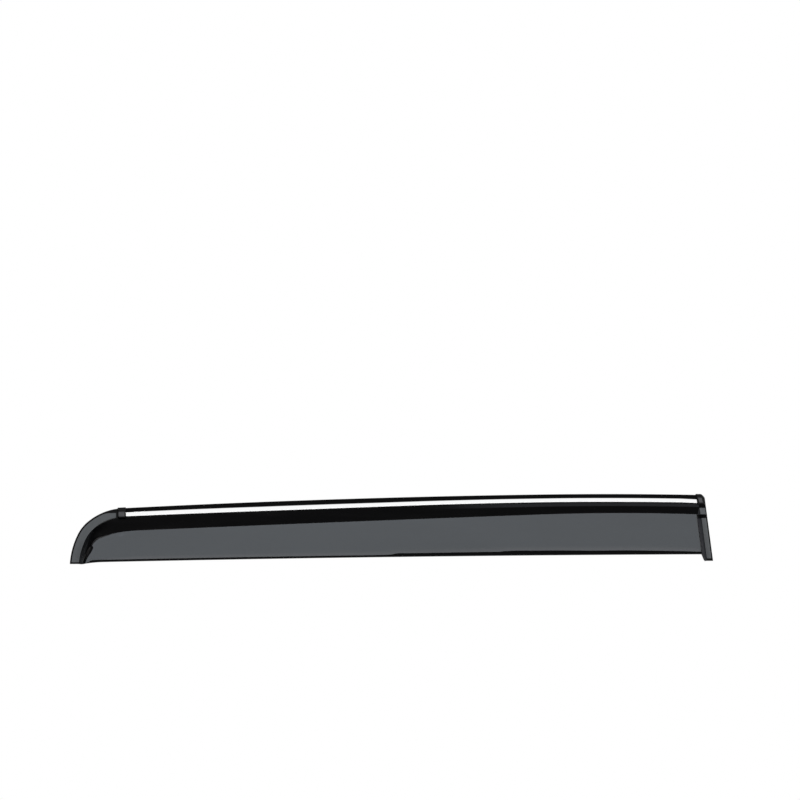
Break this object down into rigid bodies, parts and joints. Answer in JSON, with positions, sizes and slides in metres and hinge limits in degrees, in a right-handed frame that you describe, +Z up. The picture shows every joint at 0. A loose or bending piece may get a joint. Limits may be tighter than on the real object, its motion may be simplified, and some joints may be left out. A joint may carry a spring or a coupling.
{
  "type": "window rain deflector",
  "caption": "Long smoked visor for a rear car door window: flat flange, sloping shoulder, rounded end and pillar foot, with a bright trim strip, end clips and foam mounting tape.",
  "frame": {"origin": "on the back of the mounting tape, near the upper tape's middle line, at half the length", "axes": "+X along the door towards the pillar foot, +Y into the door frame, +Z up; the outer face looks along -Y"},
  "size_m": [0.8276, 0.0275, 0.0902],
  "materials": {
    "smoked_acrylic": "smoked acrylic, polished",
    "bright_trim": "mirror bright",
    "black_clip": "satin moulded plastic",
    "foam_tape": "closed-cell acrylic foam"
  },
  "bodies": {
    "root": {"visor_shell": "smoked_acrylic", "trim_strip": "bright_trim", "curved_end_clip": "black_clip", "pillar_end_clip": "black_clip", "upper_tape": "foam_tape", "corner_tape": "foam_tape", "foot_tape": "foam_tape"}
  },
  "joints": []
}
